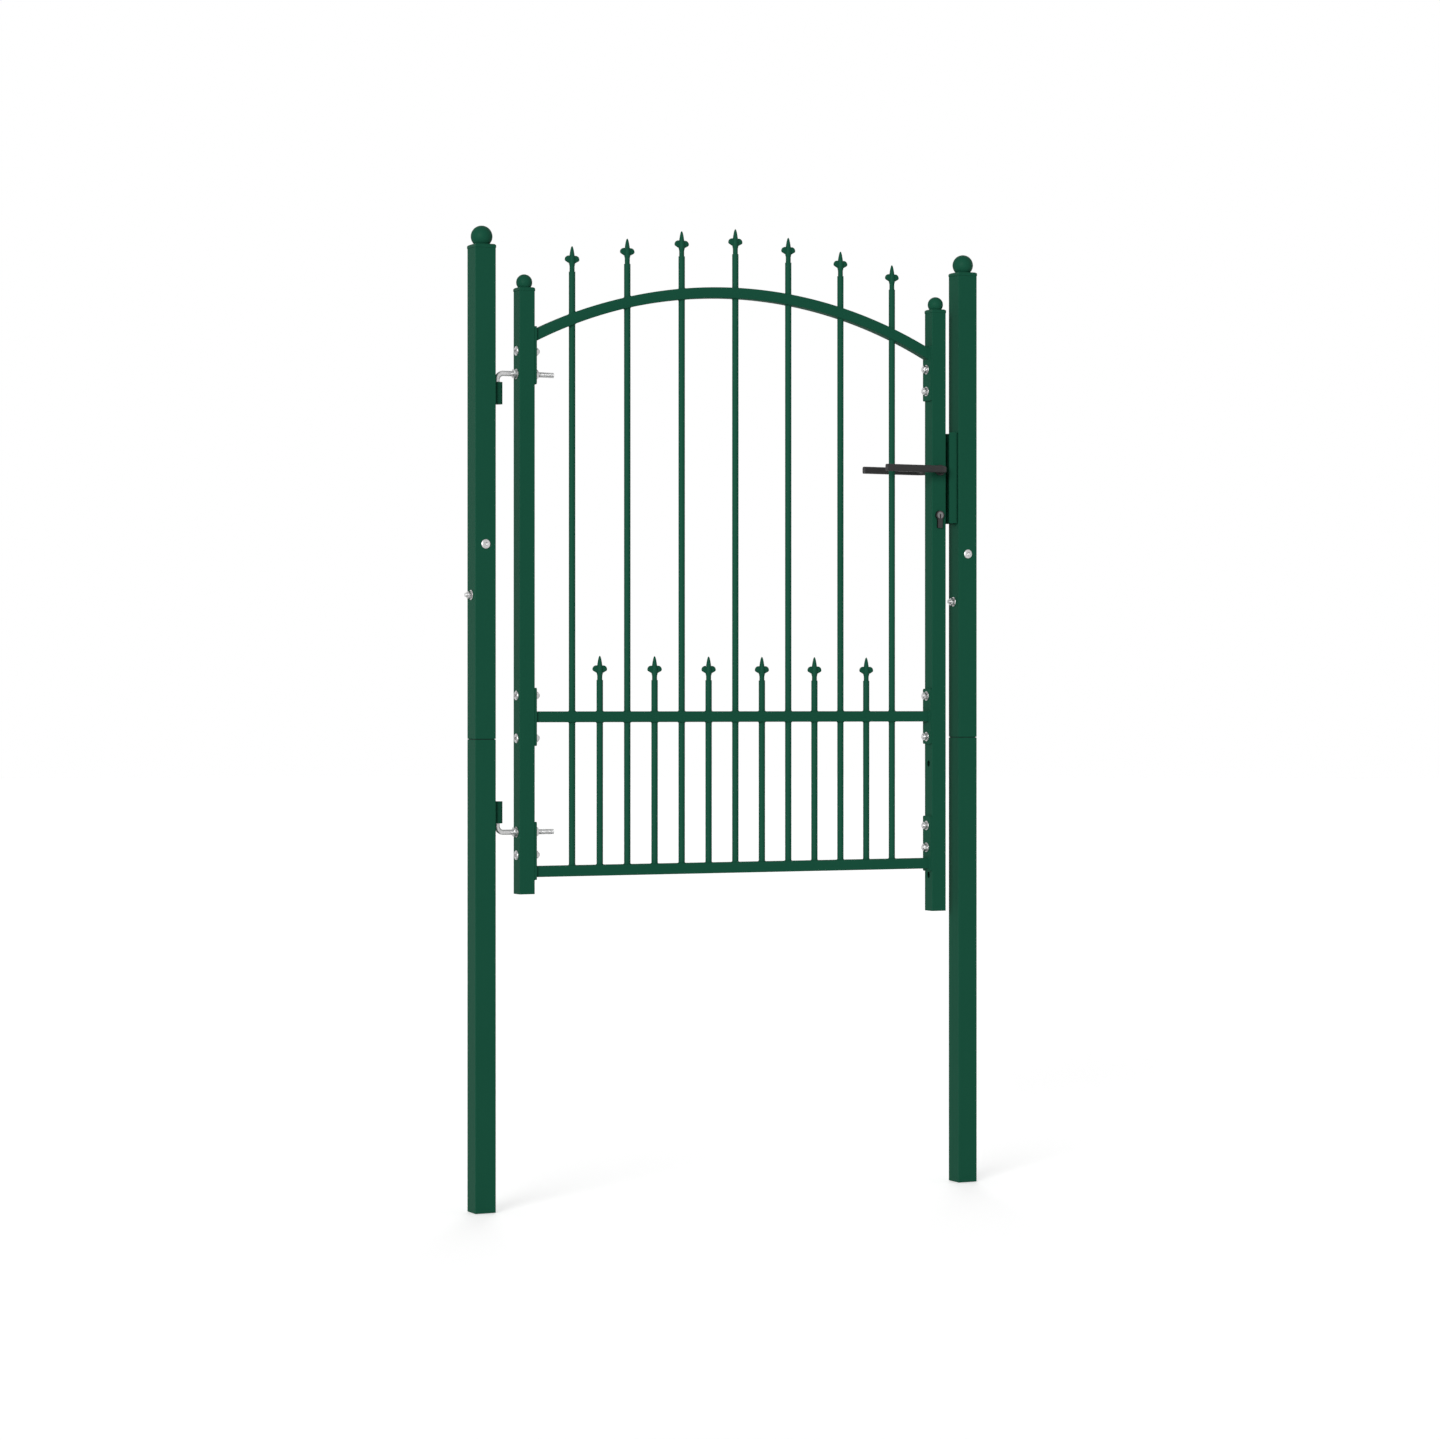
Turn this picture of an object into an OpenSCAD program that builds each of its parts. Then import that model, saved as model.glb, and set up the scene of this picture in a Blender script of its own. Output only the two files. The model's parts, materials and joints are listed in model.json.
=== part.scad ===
// Spiked fence gate: an arched steel leaf with spear-topped round bars, hung by
// two L-bolts from a square post and closed by a lever lock against a second post.
// Millimetres. The origin is the centre of the hinge post's foot, X runs to the
// latch post, Y runs away from the front and Z is up.

/* [Posts] */
// Distance between the centres of the two posts
post_spacing = 1000; // [960:1:1100]
// Side of a square post tube
post_w = 40; // [38:1:50]
// Wall of a post tube
post_wall = 1.5; // [1.2:0.1:2.5]
// Outside corner radius of a post tube
post_corner_r = 1.2; // [1:0.1:3]
// Length of a post, without its cap
post_h = 1748; // [1735:1:1900]
// Height of the joint between the lower and the upper tube
post_seam_z = 857; // [700:1:950]
// Open line between the lower and the upper tube
seam_gap = 1.4; // [0.4:0.1:2]
// How far the inner sleeve reaches below the joint
sleeve_below = 150; // [80:1:250]
// How far the inner sleeve reaches above the joint
sleeve_above = 400; // [375:1:500]
// Wall of the inner sleeve
sleeve_wall = 1.5; // [1:0.1:2.5]
// Height of the bolt hole through the front of a post
post_front_hole_z = 1211; // [1170:1:1225]
// Height of the bolt hole through the side of a post
post_side_hole_z = 1119; // [1080:1:1150]
// Height of a post cap's flat, above the tube
post_cap_t = 7; // [5:0.5:9]
// Diameter of a post cap's ball
post_ball_d = 39.5; // [30:0.5:40]
// Height of the ball's top above a post cap's flat
post_ball_rise = 34; // [28:0.5:36]

/* [Post bolts] */
// Room around a post bolt in its holes
bolt_clear = 0.5; // [0.2:0.1:0.8]
// Diameter of a post bolt's low round head
bolt_head_d = 17.6; // [15:0.1:19]
// Diameter of the flat on top of that head
bolt_head_top_d = 13; // [10:0.5:15]
// Height of that head
bolt_head_h = 2.8; // [2:0.1:4]
// Diameter of a washer
washer_d = 18; // [16:0.5:20]
// Thickness of a washer
washer_t = 1.6; // [1:0.1:2]
// Width of a nut across its flats
nut_w = 13; // [12:0.5:14]
// Height of a nut
nut_h = 6.5; // [5:0.5:7]
// How far a post bolt stands out of its nut
bolt_tail = 4; // [1:0.5:4.5]

/* [Leaf frame] */
// Gap from the hinge post to the hinge stile
hinge_gap = 48.5; // [46:0.5:60]
// Gap from the latch stile to the latch post
latch_gap = 25.5; // [25:0.5:32]
// Side of a square stile tube
stile_w = 30; // [29:0.5:34]
// Wall of a stile tube
stile_wall = 1.5; // [1.2:0.1:2]
// Outside corner radius of a stile tube
stile_corner_r = 1.2; // [1:0.1:3]
// Height of both stiles' upper ends
stile_top_z = 1674; // [1650:1:1700]
// Height of the hinge stile's lower end
hinge_stile_foot_z = 575; // [520:1:590]
// Height of the latch stile's lower end
latch_stile_foot_z = 524; // [480:1:580]
// Height of a stile cap's flat, above the tube
stile_cap_t = 7; // [5:0.5:9]
// Diameter of a stile cap's ball
stile_ball_d = 29.5; // [22:0.5:30]
// Height of the ball's top above a stile cap's flat
stile_ball_rise = 24; // [20:0.5:27]
// How far a cap's plug reaches into its tube
cap_plug_l = 15; // [8:1:25]
// How far a cap's rim stands out past its tube
cap_rim = 0.8; // [0.4:0.1:1.5]
// Height of the upright part of a cap's rim
cap_rim_h = 2.2; // [1:0.1:3]

/* [Rails] */
// Side of a square rail tube
rail_w = 20; // [18:0.5:24]
// Wall of a rail tube
rail_wall = 1.5; // [1:0.1:2]
// Outside corner radius of a rail tube
rail_corner_r = 1.5; // [1:0.1:2.5]
// Height of the bottom rail's middle
bottom_rail_z = 615.6; // [600:0.1:640]
// Height of the middle rail's middle
middle_rail_z = 898; // [860:1:930]
// Height of the arched rail's middle at its highest point
arch_apex_z = 1691; // [1670:0.1:1720]
// Radius of the arched rail's middle line
arch_r = 912; // [880:1:1100]

/* [End plates] */
// Thickness of a plate between a rail and a stile
plate_t = 4; // [3:0.5:6]
// Length of an end plate
plate_l = 106; // [100:1:112]
// Corner radius of an end plate
plate_corner_r = 3; // [1:0.5:5]
// How far an end plate reaches past its rail at the leaf's edge
plate_margin = 5; // [3:0.5:8]
// Distance of the nearer bolt hole from that edge of an end plate
plate_near_hole = 45.5; // [42:0.5:50]
// Distance of the farther bolt hole from the other end of an end plate
plate_end_hole = 18.5; // [14:0.5:22]
// Distance of a middle plate's bolt holes from its ends
middle_end_hole = 14; // [9:0.5:19]
// Diameter of a bolt hole
bolt_hole_d = 9; // [8.4:0.1:10]
// Diameter of the two spare holes in the latch stile
spare_hole_d = 12; // [8:0.5:13]
// Heights of the two spare holes in the latch stile
spare_hole_z = [593, 807]; // [560:1:830]

/* [Bars] */
// Number of bars that pass through the arch
tall_bars_n = 7; // [3:2:7]
// Outside diameter of a bar
bar_d = 12; // [11:0.5:13]
// Wall of a bar
bar_wall = 1.5; // [1:0.1:2.5]
// Distance from a stile's middle to the first tall bar
first_bar_offset = 95; // [85:1:110]
// Clearance of a bar in a rail's hole
bar_clear = 0.2; // [0.1:0.05:0.5]
// Rise of the middle tall bar's point above the arched rail's middle
tip_rise = 121; // [105:1:145]
// Drop of the points from the middle bar outwards
tip_drop = [0, 10, 30, 50]; // [0:1:60]
// Height of the short bars' points
short_tip_z = 1010.5; // [990:0.5:1060]

/* [Spears] */
// Length of a tall bar's spear neck below its flare
tall_neck_l = 9.6; // [6:0.1:14]
// Length of a short bar's spear neck below its flare
short_neck_l = 6.8; // [5:0.1:12]
// Diameter of a spear's neck
spear_neck_d = 9.4; // [8:0.1:10]
// Height of the flare from the neck up to the lobes
spear_flare_h = 6; // [5:0.1:8]
// Diameter of a spear's body between its lobes
spear_body_d = 11.5; // [10:0.5:12]
// Height of a spear's lobes
spear_lobe_h = 14; // [12:0.1:15]
// Width across a spear's two lobes
spear_w = 28; // [26:0.5:30]
// Thickness of the flat lobes
spear_t = 6; // [5:0.5:8]
// Radius of a lobe's round shoulder
spear_lobe_r = 5; // [4:0.1:5.4]
// Radius of a lobe's drooping tip
spear_tip_r = 1.8; // [1.2:0.1:2.2]
// Depth of that tip's middle below the lobes' tops
spear_droop = 7.4; // [7:0.1:8]
// Height of a spear's point above its lobes
spear_point_h = 17.8; // [16:0.1:20]
// Diameter of the point's base
spear_point_d = 9.6; // [8:0.1:10]

/* [Hinges] */
// Diameter of a hinge barrel
barrel_d = 20; // [18:0.5:24]
// Length of a hinge barrel
barrel_l = 40; // [30:1:50]
// Width of the weld seat between a barrel and its post
barrel_seat_w = 12; // [8:0.5:16]
// Diameter of an L-bolt
l_bolt_d = 10; // [8:0.5:11]
// Radial clearance of an L-bolt in its barrel
pin_clear = 0.1; // [0.05:0.01:0.1]
// Bend radius of an L-bolt's middle line
l_bolt_bend_r = 12; // [10:0.5:14]
// Distance from an L-bolt's level leg to its barrel
barrel_drop = 16.5; // [15:0.5:20]
// How far an L-bolt's upright leg reaches past its barrel
pin_over = 4; // [2:0.5:10]
// How far an L-bolt's threaded tail reaches past the end plate
l_bolt_tail = 38.5; // [30:0.5:45]
// Clearance of an L-bolt in the stile and the end plate
l_bolt_clear = 0.25; // [0.1:0.05:0.5]

/* [Lock] */
// Height of the levers' turning axis
lever_z = 1371; // [1360:1:1380]
// Length of a lever from its axis to its free end
lever_l = 131; // [110:1:140]
// Height of a lever's section
lever_h = 13.5; // [12:0.5:16]
// Depth of a lever's section
lever_t = 11; // [9:0.5:13]
// Corner radius of a lever's section
lever_corner_r = 3.5; // [2:0.5:4]
// Distance of a lever's grip from the stile's middle plane
lever_reach = 46.5; // [42:0.5:52]
// Bend radius of a lever's elbow
lever_bend_r = 18; // [15:0.5:20]
// Diameter of a lever's foot
lever_foot_d = 20; // [18:0.5:24]
// Length of a lever's foot
lever_foot_l = 6; // [4:0.5:8]
// Gap between a lever's foot and the stile
lever_gap = 0.6; // [0.4:0.1:1]
// Side of the square spindle
spindle_w = 8; // [7:0.5:9]
// Room round the spindle in the stile and in the lock case
spindle_room = 1; // [0.6:0.1:1.5]
// Distance from the levers' axis down to the key's axis
key_drop = 86.5; // [85:0.5:95]
// Diameter of the key cylinder's round part
key_d = 17; // [16:0.5:18]
// Width of the key cylinder's lower part
key_w = 10; // [9:0.5:11]
// Overall height of the key cylinder
key_h = 33; // [31:0.5:34]
// How far the key cylinder stands out of the stile
key_out = 5; // [3:0.5:8]
// Diameter of the turning plug in the key cylinder
plug_d = 13; // [11:0.5:14]
// Width, height and depth of the key slot
key_slot = [2.4, 8.5, 4]; // [2:0.1:9]
// Clearance of the lock's pieces in their openings
lock_clear = 0.2; // [0.1:0.05:0.4]
// Depth of the lock case from front to back
case_t = 15; // [14:0.5:18]
// Distance from the levers' axis up to the top of the lock case
case_above = 69; // [60:1:75]
// Distance from the key's axis down to the foot of the lock case
case_below = 41; // [35:1:50]
// Width of the lock's face plate
face_w = 20; // [18:0.5:22]
// How far the face plate reaches past each end of the lock case
face_margin = 15; // [10:1:20]
// Thickness of the lock's face plate
face_t = 3; // [2.5:0.1:3.5]
// Width and height of the latch tongue
tongue = [10, 22]; // [8:0.5:24]
// Distance from the levers' axis up to the latch tongue
tongue_rise = 32; // [29:1:38]
// Width and height of the dead bolt
dead_bolt_size = [8, 28]; // [6:0.5:30]
// Distance from the levers' axis down to the dead bolt
dead_bolt_drop = 48; // [44:1:52]
// How far the tongue and the dead bolt reach into the case
bolt_depth = 17; // [14:0.5:20]

/* [Keeper] */
// Height of the keeper channel
keeper_h = 174.5; // [160:0.5:190]
// Distance from the levers' axis down to the keeper's middle
keeper_drop = 14; // [10:1:18]
// Depth of the keeper channel, from the post towards the leaf
keeper_d = 20; // [16:0.5:20]
// Sheet thickness of the keeper
keeper_t = 3; // [2:0.5:4]
// Outside bend radius of the keeper
keeper_bend_r = 8; // [4.5:0.5:9]

/* [Hidden] */
$fn = 48;
// Steps of a full turn for the arch and for a rail's corners
arch_steps = 360;
corner_steps = 24;
// Steps up a spear's point
point_steps = 7;
// Small overrun that lets a cut pass clean through a face
cut = 1;
green = [0.11, 0.30, 0.22];
primer = [0.06, 0.11, 0.09];
zinc = [0.78, 0.79, 0.80];
dark = [0.20, 0.20, 0.21];

// Places along X, in the leaf's plane
hinge_post_face = post_w / 2;
latch_post_face = post_spacing - post_w / 2;
hinge_x = hinge_post_face + barrel_d / 2;
hinge_stile_x = hinge_post_face + hinge_gap + stile_w / 2;
latch_stile_x = latch_post_face - latch_gap - stile_w / 2;
leaf_mid_x = (hinge_stile_x + latch_stile_x) / 2;
rail_x0 = hinge_stile_x + stile_w / 2 + plate_t;
rail_x1 = latch_stile_x - stile_w / 2 - plate_t;
rail_l = rail_x1 - rail_x0;

// Bars stand at an even pitch, with a short bar between each two tall ones
bar_pitch = (latch_stile_x - hinge_stile_x - 2 * first_bar_offset) / (tall_bars_n - 1);
tall_x = [for (i = [0 : tall_bars_n - 1]) hinge_stile_x + first_bar_offset + i * bar_pitch];
short_x = [for (i = [0 : tall_bars_n - 2]) tall_x[i] + bar_pitch / 2];
bar_mid = (tall_bars_n - 1) / 2;
function tip_z(i) = arch_apex_z + tip_rise - tip_drop[abs(i - bar_mid)];
bar_foot_z = bottom_rail_z + rail_w / 2;
tall_spear_h = tall_neck_l + spear_flare_h + spear_lobe_h + spear_point_h;
short_spear_h = short_neck_l + spear_flare_h + spear_lobe_h + spear_point_h;

// Heights of the end plates, measured from the ends of the rails
arch_end_z = arch_apex_z - arch_r + sqrt(pow(arch_r, 2) - pow(rail_l / 2, 2));
arch_end_slope = asin(rail_l / 2 / arch_r);
arch_plate_top = arch_end_z + rail_w / 2 / cos(arch_end_slope) + plate_margin;
bottom_plate_foot = bottom_rail_z - rail_w / 2 - plate_margin;
arch_plate_z = arch_plate_top - plate_l / 2;
bottom_plate_z = bottom_plate_foot + plate_l / 2;
plate_far_hole = plate_l - plate_end_hole;
middle_hole_offset = plate_l / 2 - middle_end_hole;
arch_bolt_z = arch_plate_top - plate_near_hole;
upper_rod_z = arch_plate_top - plate_far_hole;
bottom_bolt_z = bottom_plate_foot + plate_near_hole;
lower_rod_z = bottom_plate_foot + plate_far_hole;
middle_bolt_z = [middle_rail_z - middle_hole_offset, middle_rail_z + middle_hole_offset];
l_bolt_hole_d = l_bolt_d + 2 * l_bolt_clear;

// Heights and depths of the lock's pieces
key_z = lever_z - key_drop;
case_h = case_above + key_drop + case_below;
case_z = lever_z + case_above - case_h / 2;
face_h = case_h + 2 * face_margin;
keeper_z = lever_z - keeper_drop;
tongue_z = lever_z + tongue_rise;
dead_bolt_z = lever_z - dead_bolt_drop;
case_x0 = latch_stile_x - stile_w / 2 + stile_wall;
case_x1 = latch_stile_x + stile_w / 2 - face_t;
spindle_hole_d = spindle_w * sqrt(2) + 2 * spindle_room;
lever_base_y = stile_w / 2 + lever_gap;

// Shared outlines and shapes

// Rectangle with round corners, centred
module round_rect(size, r) {
    square([size[0] - 2 * r, size[1]], center = true);
    square([size[0], size[1] - 2 * r], center = true);
    for (sx = [-1, 1], sy = [-1, 1])
        translate([sx * (size[0] / 2 - r), sy * (size[1] / 2 - r)])
            circle(r);
}

// Inside corner radius of a tube
function inner_r(r, wall) = max(r - wall, 0.2);

// Section of a square tube with round corners
module tube_section(w, wall, r) {
    inside = w - 2 * wall;
    difference() {
        round_rect([w, w], r);
        round_rect([inside, inside], inner_r(r, wall));
    }
}

// Upright square tube from height z0 to z1
module upright_tube(w, wall, r, z0, z1) {
    translate([0, 0, z0])
        linear_extrude(z1 - z0)
            tube_section(w, wall, r);
}

// Round hole along X, Y or Z, through everything within the given length
module hole_x(d, l) { rotate([0, 90, 0]) cylinder(d = d, h = l, center = true); }
module hole_y(d, l) { rotate([90, 0, 0]) cylinder(d = d, h = l, center = true); }
module hole_z(d, l) { cylinder(d = d, h = l, center = true); }

// Cap for a square tube: a plug, a flat with rounded upper edges, and a ball
module ball_cap(w, wall, r, t, ball_d, ball_rise) {
    inside = w - 2 * wall;
    rim_w = w + 2 * cap_rim;
    translate([0, 0, -cap_plug_l])
        linear_extrude(cap_plug_l)
            round_rect([inside, inside], inner_r(r, wall));
    intersection() {
        rounded_slab(rim_w, t);
        rotate([0, 0, 90]) rounded_slab(rim_w, t);
        linear_extrude(t) round_rect([rim_w, rim_w], r + cap_rim);
    }
    translate([0, 0, t + ball_rise - ball_d / 2])
        sphere(d = ball_d);
}

// Slab along Y whose two long upper edges are round
module rounded_slab(w, t) {
    edge = t - cap_rim_h;
    rotate([90, 0, 0])
        linear_extrude(w, center = true)
            intersection() {
                translate([-w / 2, 0]) square([w, t]);
                union() {
                    translate([-w / 2, 0]) square([w, cap_rim_h]);
                    translate([-w / 2 + edge, 0]) square([w - 2 * edge, t]);
                    for (sx = [-1, 1])
                        translate([sx * (w / 2 - edge), cap_rim_h])
                            circle(edge);
                }
            }
}

// Posts

module post_holes() {
    translate([0, 0, post_front_hole_z]) hole_y(bolt_hole_d, post_w + 2 * cut);
    translate([0, 0, post_side_hole_z]) hole_x(bolt_hole_d, post_w + 2 * cut);
}

module post_lower(x) {
    color(green) translate([x, 0, 0])
        upright_tube(post_w, post_wall, post_corner_r, 0, post_seam_z);
}

module post_upper(x) {
    color(green) translate([x, 0, 0])
        difference() {
            upright_tube(post_w, post_wall, post_corner_r, post_seam_z + seam_gap, post_h);
            post_holes();
        }
}

module post_sleeve(x) {
    inside = post_w - 2 * post_wall;
    color(primer) translate([x, 0, 0])
        difference() {
            upright_tube(inside, sleeve_wall, post_corner_r,
                post_seam_z - sleeve_below, post_seam_z + sleeve_above);
            post_holes();
        }
}

module post_cap(x) {
    color(green) translate([x, 0, post_h])
        ball_cap(post_w, post_wall, post_corner_r, post_cap_t, post_ball_d, post_ball_rise);
}

// Post bolts: a low round head on one face, a washer, a nut and the bolt's end on the other

module post_bolt() {
    face = post_w / 2;
    shank_l = bolt_head_h / 2 + post_w + washer_t + nut_h + bolt_tail;
    translate([0, 0, -face - bolt_head_h])
        cylinder(d1 = bolt_head_top_d, d2 = bolt_head_d, h = bolt_head_h);
    translate([0, 0, -face - bolt_head_h / 2])
        cylinder(d = bolt_hole_d - 2 * bolt_clear, h = shank_l);
    translate([0, 0, face]) cylinder(d = washer_d, h = washer_t);
    translate([0, 0, face + washer_t]) cylinder(d = nut_w / cos(30), h = nut_h, $fn = 6);
}

module post_bolts(x) {
    color(zinc) translate([x, 0, 0]) {
        translate([0, 0, post_front_hole_z]) rotate([-90, 0, 0]) post_bolt();
        translate([0, 0, post_side_hole_z]) rotate([0, -90, 0]) post_bolt();
    }
}

// Hinge barrels, welded to the inner face of the hinge post

module hinge_barrel(z0) {
    bore_d = l_bolt_d + 2 * pin_clear;
    color(green) translate([hinge_x, 0, z0])
        difference() {
            union() {
                cylinder(d = barrel_d, h = barrel_l);
                translate([-barrel_d / 2, -barrel_seat_w / 2, 0])
                    cube([barrel_d / 2, barrel_seat_w, barrel_l]);
            }
            translate([0, 0, -cut]) cylinder(d = bore_d, h = barrel_l + 2 * cut);
        }
}

module upper_hinge_barrel() { hinge_barrel(upper_rod_z - barrel_drop - barrel_l); }
module lower_hinge_barrel() { hinge_barrel(lower_rod_z + barrel_drop); }

// L-bolts: a level threaded leg through the stile and an upright leg in the barrel

module l_bolt() {
    pin_l = barrel_drop - l_bolt_bend_r + barrel_l + pin_over;
    level_l = rail_x0 + l_bolt_tail - hinge_x - l_bolt_bend_r;
    color(zinc) {
        translate([l_bolt_bend_r, 0, 0])
            rotate([0, 90, 0]) cylinder(d = l_bolt_d, h = level_l);
        translate([l_bolt_bend_r, 0, -l_bolt_bend_r])
            rotate([90, 0, 0]) rotate([0, 0, 90])
                rotate_extrude(angle = 90)
                    translate([l_bolt_bend_r, 0]) circle(d = l_bolt_d);
        translate([0, 0, -l_bolt_bend_r - pin_l]) cylinder(d = l_bolt_d, h = pin_l);
    }
}

module upper_hinge_bolt() { translate([hinge_x, 0, upper_rod_z]) l_bolt(); }
module lower_hinge_bolt() { translate([hinge_x, 0, lower_rod_z]) mirror([0, 0, 1]) l_bolt(); }

// Stiles

module hinge_stile() {
    color(green) translate([hinge_stile_x, 0, 0])
        difference() {
            upright_tube(stile_w, stile_wall, stile_corner_r, hinge_stile_foot_z, stile_top_z);
            for (z = concat([arch_bolt_z, bottom_bolt_z], middle_bolt_z))
                translate([0, 0, z]) hole_x(bolt_hole_d, stile_w + 2 * cut);
            for (z = [upper_rod_z, lower_rod_z])
                translate([0, 0, z]) hole_x(l_bolt_hole_d, stile_w + 2 * cut);
        }
}

module latch_stile() {
    color(green) translate([latch_stile_x, 0, 0])
        difference() {
            upright_tube(stile_w, stile_wall, stile_corner_r, latch_stile_foot_z, stile_top_z);
            for (z = concat([arch_bolt_z, upper_rod_z, lower_rod_z, bottom_bolt_z], middle_bolt_z))
                translate([0, 0, z]) hole_x(bolt_hole_d, stile_w + 2 * cut);
            for (z = spare_hole_z)
                translate([-stile_w / 2, 0, z]) hole_x(spare_hole_d, stile_w / 2);
            translate([0, 0, lever_z]) hole_y(spindle_hole_d, stile_w + 2 * cut);
            translate([0, 0, key_z]) key_profile(stile_w + 2 * cut, lock_clear);
            translate([stile_w / 2, 0, case_z])
                cube([stile_w / 2, face_w + 2 * lock_clear, face_h + 2 * lock_clear], center = true);
        }
}

module stile_cap(x) {
    color(green) translate([x, 0, stile_top_z])
        ball_cap(stile_w, stile_wall, stile_corner_r, stile_cap_t, stile_ball_d, stile_ball_rise);
}

// Rails, drilled where the bars pass through

module bar_holes(xs, z, l) {
    for (x = xs) translate([x, 0, z]) hole_z(bar_d + 2 * bar_clear, l);
}

module straight_rail(z) {
    translate([rail_x0, 0, z])
        rotate([0, 90, 0])
            linear_extrude(rail_l) tube_section(rail_w, rail_wall, rail_corner_r);
}

module middle_rail() {
    color(green) difference() {
        straight_rail(middle_rail_z);
        bar_holes(concat(tall_x, short_x), middle_rail_z, rail_w + 2 * cut);
    }
}

module bottom_rail() { color(green) straight_rail(bottom_rail_z); }

module arch_rail() {
    sweep = 2 * arch_end_slope + 6;
    depth = arch_apex_z - arch_end_z + 4 * rail_w;
    color(green) difference() {
        intersection() {
            translate([leaf_mid_x, 0, arch_apex_z - arch_r])
                rotate([90, 0, 0]) rotate([0, 0, 90 - sweep / 2])
                    rotate_extrude(angle = sweep, $fn = arch_steps)
                        translate([arch_r, 0])
                            tube_section(rail_w, rail_wall, rail_corner_r, $fn = corner_steps);
            translate([rail_x0, -rail_w, arch_apex_z + 2 * rail_w - depth])
                cube([rail_l, 2 * rail_w, depth]);
        }
        bar_holes(tall_x, arch_apex_z - depth / 2 + 2 * rail_w, depth);
    }
}

// End plates between the rails and the stiles

module end_plate(x0, z, holes, rod_hole) {
    color(green) difference() {
        translate([x0, 0, z])
            rotate([90, 0, 90]) linear_extrude(plate_t)
                round_rect([stile_w, plate_l], plate_corner_r);
        for (h = holes)
            translate([x0 + plate_t / 2, 0, h]) hole_x(bolt_hole_d, plate_t + 2 * cut);
        for (h = rod_hole)
            translate([x0 + plate_t / 2, 0, h]) hole_x(l_bolt_hole_d, plate_t + 2 * cut);
    }
}

hinge_plate_x = hinge_stile_x + stile_w / 2;
latch_plate_x = rail_x1;
module arch_hinge_plate() { end_plate(hinge_plate_x, arch_plate_z, [arch_bolt_z], [upper_rod_z]); }
module arch_latch_plate() { end_plate(latch_plate_x, arch_plate_z, [arch_bolt_z, upper_rod_z], []); }
module middle_hinge_plate() { end_plate(hinge_plate_x, middle_rail_z, middle_bolt_z, []); }
module middle_latch_plate() { end_plate(latch_plate_x, middle_rail_z, middle_bolt_z, []); }
module bottom_hinge_plate() { end_plate(hinge_plate_x, bottom_plate_z, [bottom_bolt_z], [lower_rod_z]); }
module bottom_latch_plate() { end_plate(latch_plate_x, bottom_plate_z, [bottom_bolt_z, lower_rod_z], []); }

// Bars, standing on the bottom rail

module bar(x, top_z) {
    translate([x, 0, bar_foot_z])
        linear_extrude(top_z - bar_foot_z)
            difference() {
                circle(d = bar_d);
                circle(d = bar_d - 2 * bar_wall);
            }
}

module tall_bars() {
    color(green) for (i = [0 : tall_bars_n - 1]) bar(tall_x[i], tip_z(i) - tall_spear_h);
}

module short_bars() {
    color(green) for (x = short_x) bar(x, short_tip_z - short_spear_h);
}

// Spear: a flared neck, a pair of drooping lobes on a round body, and a leaf-shaped point

// Radius of the point at a share of its height: full at the foot, round at the tip
function point_r(share) = spear_point_d / 2 * sqrt(1 - share);

module spear(neck_l) {
    lobe_foot = neck_l + spear_flare_h;
    lobe_top = lobe_foot + spear_lobe_h;
    stem = [[0, 0], [spear_neck_d / 2, 0], [spear_neck_d / 2, neck_l], [spear_body_d / 2, lobe_foot],
        [spear_body_d / 2, lobe_top - spear_lobe_r]];
    point = [for (i = [0 : point_steps]) let (share = i / point_steps)
        [point_r(share), lobe_top + share * spear_point_h]];
    rotate_extrude() polygon(concat(stem, point));
    rotate([90, 0, 0])
        linear_extrude(spear_t, center = true)
            translate([0, lobe_top]) {
                spear_lobe();
                mirror([1, 0]) spear_lobe();
            }
}

// Outline of the right lobe: a round shoulder that runs down to a small round tip
module spear_lobe() {
    tip_x = spear_w / 2 - spear_tip_r;
    lobe_x = spear_w / 2 - spear_tip_r / 2 - spear_lobe_r;
    polygon([[0, 0], [0, -spear_lobe_h], [spear_body_d / 2, -spear_lobe_h],
        [tip_x - spear_tip_r / 2, -spear_droop - 0.86 * spear_tip_r],
        [tip_x, -spear_droop], [spear_w / 2, -spear_droop],
        [lobe_x + 0.96 * spear_lobe_r, -0.72 * spear_lobe_r],
        [lobe_x, -spear_lobe_r], [lobe_x, 0]]);
    translate([lobe_x, -spear_lobe_r]) circle(spear_lobe_r);
    translate([tip_x, -spear_droop]) circle(spear_tip_r);
}

module tall_spears() {
    color(green) for (i = [0 : tall_bars_n - 1])
        translate([tall_x[i], 0, tip_z(i) - tall_spear_h]) spear(tall_neck_l);
}

module short_spears() {
    color(green) for (x = short_x)
        translate([x, 0, short_tip_z - short_spear_h]) spear(short_neck_l);
}

// Lock

// Key cylinder's outline swept along Y, grown by a clearance round its upper part
module key_profile(l, room) {
    drop = key_h - key_d / 2;
    rotate([90, 0, 0]) linear_extrude(l, center = true) {
        circle(d = key_d + 2 * room);
        translate([-key_w / 2, -drop]) square([key_w, drop]);
    }
}

module key_cylinder() {
    body_l = stile_w + 2 * key_out;
    color(dark) translate([latch_stile_x, 0, key_z])
        difference() {
            union() {
                key_profile(body_l, 0);
                hole_y(plug_d, body_l + 1);
            }
            for (s = [-1, 1])
                translate([0, s * (body_l + 1) / 2, -key_slot[1] / 4])
                    cube([key_slot[0], 2 * key_slot[2], key_slot[1]], center = true);
        }
}

module lock_case() {
    color(zinc) difference() {
        translate([case_x0, -case_t / 2, case_z - case_h / 2])
            cube([case_x1 - case_x0, case_t, case_h]);
        translate([latch_stile_x, 0, lever_z]) hole_y(spindle_hole_d, case_t + 2 * cut);
        translate([latch_stile_x, 0, key_z]) key_profile(case_t + 2 * cut, lock_clear);
        bolt_pocket(tongue, tongue_z, lock_clear);
        bolt_pocket(dead_bolt_size, dead_bolt_z, lock_clear);
    }
}

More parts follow.
